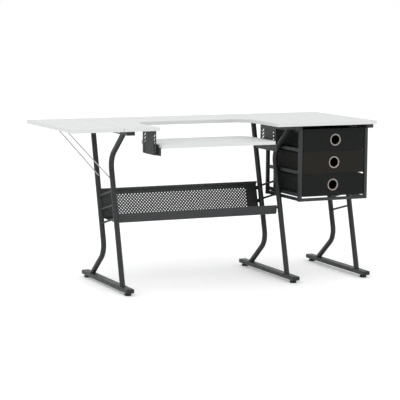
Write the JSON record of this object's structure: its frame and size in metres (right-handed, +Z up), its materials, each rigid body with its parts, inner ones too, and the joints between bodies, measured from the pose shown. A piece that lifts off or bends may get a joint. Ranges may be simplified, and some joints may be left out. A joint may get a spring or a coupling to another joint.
{
  "type": "sewing table",
  "caption": "White-topped sewing table on leaning steel leg frames, with a drop platform in a cut-out, a folding side leaf, a perforated tray and a rack of fabric drawers.",
  "frame": {"origin": "on the floor, under the centre of the top's outline", "axes": "+X to the seated user's right, along the front edge; +Y from the user to the back edge; +Z up"},
  "size_m": [1.543, 0.61, 0.76],
  "materials": {
    "white_board": "white melamine foil over particle board, faint fine texture",
    "frame_paint": "charcoal powder coat, fine orange peel",
    "tray_paint": "charcoal powder coat on thin sheet",
    "rack_paint": "charcoal powder coat, fine orange peel",
    "zinc": "zinc plated",
    "black_screw": "black oxide",
    "brace_wire": "bright plated spring wire",
    "cap_plastic": "black moulded plastic",
    "glide_plastic": "black moulded plastic",
    "catch_plastic": "white moulded plastic",
    "drawer_fabric": "black non-woven fabric over card",
    "drawer_fabric_worn": "black non-woven fabric, slightly brown",
    "card_board": "grey-black pressed card",
    "ring_nickel": "antique nickel"
  },
  "bodies": {
    "table_frame": {"left_rear_tube": "frame_paint", "left_front_tube": "frame_paint", "left_foot_bar": "frame_paint", "left_top_bar": "frame_paint", "left_rungs": "frame_paint", "middle_rear_tube": "frame_paint", "middle_front_tube": "frame_paint", "middle_foot_bar": "frame_paint", "middle_top_bar": "frame_paint", "middle_rungs": "frame_paint", "right_rear_tube": "frame_paint", "right_front_tube": "frame_paint", "right_foot_bar": "frame_paint", "right_top_bar": "frame_paint", "right_rungs": "frame_paint", "tray_tabs": "frame_paint", "hanger_plate_left": "frame_paint", "hanger_plate_right": "frame_paint", "bar_end_caps": "cap_plastic", "frame_screws": "black_screw", "main_top": "white_board", "hinge_plates_top": "zinc", "hinge_pins": "zinc", "hinge_screws_top": "zinc", "hanger_screws": "black_screw", "tray_bolts": "black_screw", "rack_bolts": "black_screw", "storage_tray": "tray_paint", "tray_mesh_panel": "tray_paint", "rack_uprights": "rack_paint", "rack_top_rails": "rack_paint", "rack_bottom_rails": "rack_paint", "rack_side_rails": "rack_paint", "rack_ledges": "rack_paint"},
    "leaf": {"side_leaf": "white_board", "hinge_plates_leaf": "zinc", "hinge_screws_leaf": "zinc", "brace_catch": "catch_plastic", "catch_screws": "zinc"},
    "brace": {"leaf_brace": "brace_wire"},
    "platform": {"platform_board": "white_board", "platform_bracket_left": "frame_paint", "platform_bracket_right": "frame_paint", "platform_screws": "black_screw"},
    "drawer_1": {"drawer_1_box": "drawer_fabric", "drawer_1_base_board": "card_board", "drawer_1_ring": "ring_nickel"},
    "drawer_2": {"drawer_2_box": "drawer_fabric_worn", "drawer_2_base_board": "card_board", "drawer_2_ring": "ring_nickel"},
    "drawer_3": {"drawer_3_box": "drawer_fabric", "drawer_3_base_board": "card_board", "drawer_3_ring": "ring_nickel"},
    "left_front_glide_foot": {"left_front_glide": "glide_plastic"},
    "left_rear_glide_foot": {"left_rear_glide": "glide_plastic"},
    "middle_front_glide_foot": {"middle_front_glide": "glide_plastic"},
    "middle_rear_glide_foot": {"middle_rear_glide": "glide_plastic"},
    "right_front_glide_foot": {"right_front_glide": "glide_plastic"},
    "right_rear_glide_foot": {"right_rear_glide": "glide_plastic"}
  },
  "joints": [
    {"name": "leaf_fold", "type": "hinge", "parent": "table_frame", "child": "leaf", "pos_m": [-0.524, 0, 0.7395], "axis": [0, -1, 0], "range_deg": [0, 90]},
    {"name": "brace_swing", "type": "hinge", "parent": "table_frame", "child": "brace", "pos_m": [-0.4844, 0, 0.506], "axis": [0, -1, 0], "range_deg": [0, 121]},
    {"name": "platform_height", "type": "slide", "parent": "table_frame", "child": "platform", "axis": [0, 0, 1], "range_m": [0, 0.08]},
    {"name": "drawer_1_slide", "type": "slide", "parent": "table_frame", "child": "drawer_1", "axis": [0, -1, 0], "range_m": [0, 0.24]},
    {"name": "drawer_2_slide", "type": "slide", "parent": "table_frame", "child": "drawer_2", "axis": [0, -1, 0], "range_m": [0, 0.24]},
    {"name": "drawer_3_slide", "type": "slide", "parent": "table_frame", "child": "drawer_3", "axis": [0, -1, 0], "range_m": [0, 0.24]},
    {"name": "left_front_glide_height", "type": "slide", "parent": "table_frame", "child": "left_front_glide_foot", "axis": [0, 0, 1], "range_m": [-0.008, 0]},
    {"name": "left_rear_glide_height", "type": "slide", "parent": "table_frame", "child": "left_rear_glide_foot", "axis": [0, 0, 1], "range_m": [-0.008, 0]},
    {"name": "middle_front_glide_height", "type": "slide", "parent": "table_frame", "child": "middle_front_glide_foot", "axis": [0, 0, 1], "range_m": [-0.008, 0]},
    {"name": "middle_rear_glide_height", "type": "slide", "parent": "table_frame", "child": "middle_rear_glide_foot", "axis": [0, 0, 1], "range_m": [-0.008, 0]},
    {"name": "right_front_glide_height", "type": "slide", "parent": "table_frame", "child": "right_front_glide_foot", "axis": [0, 0, 1], "range_m": [-0.008, 0]},
    {"name": "right_rear_glide_height", "type": "slide", "parent": "table_frame", "child": "right_rear_glide_foot", "axis": [0, 0, 1], "range_m": [-0.008, 0]}
  ],
  "couplings": [
    {"joint": "brace_swing", "follows": "leaf_fold", "ratio": 1.3444}
  ]
}
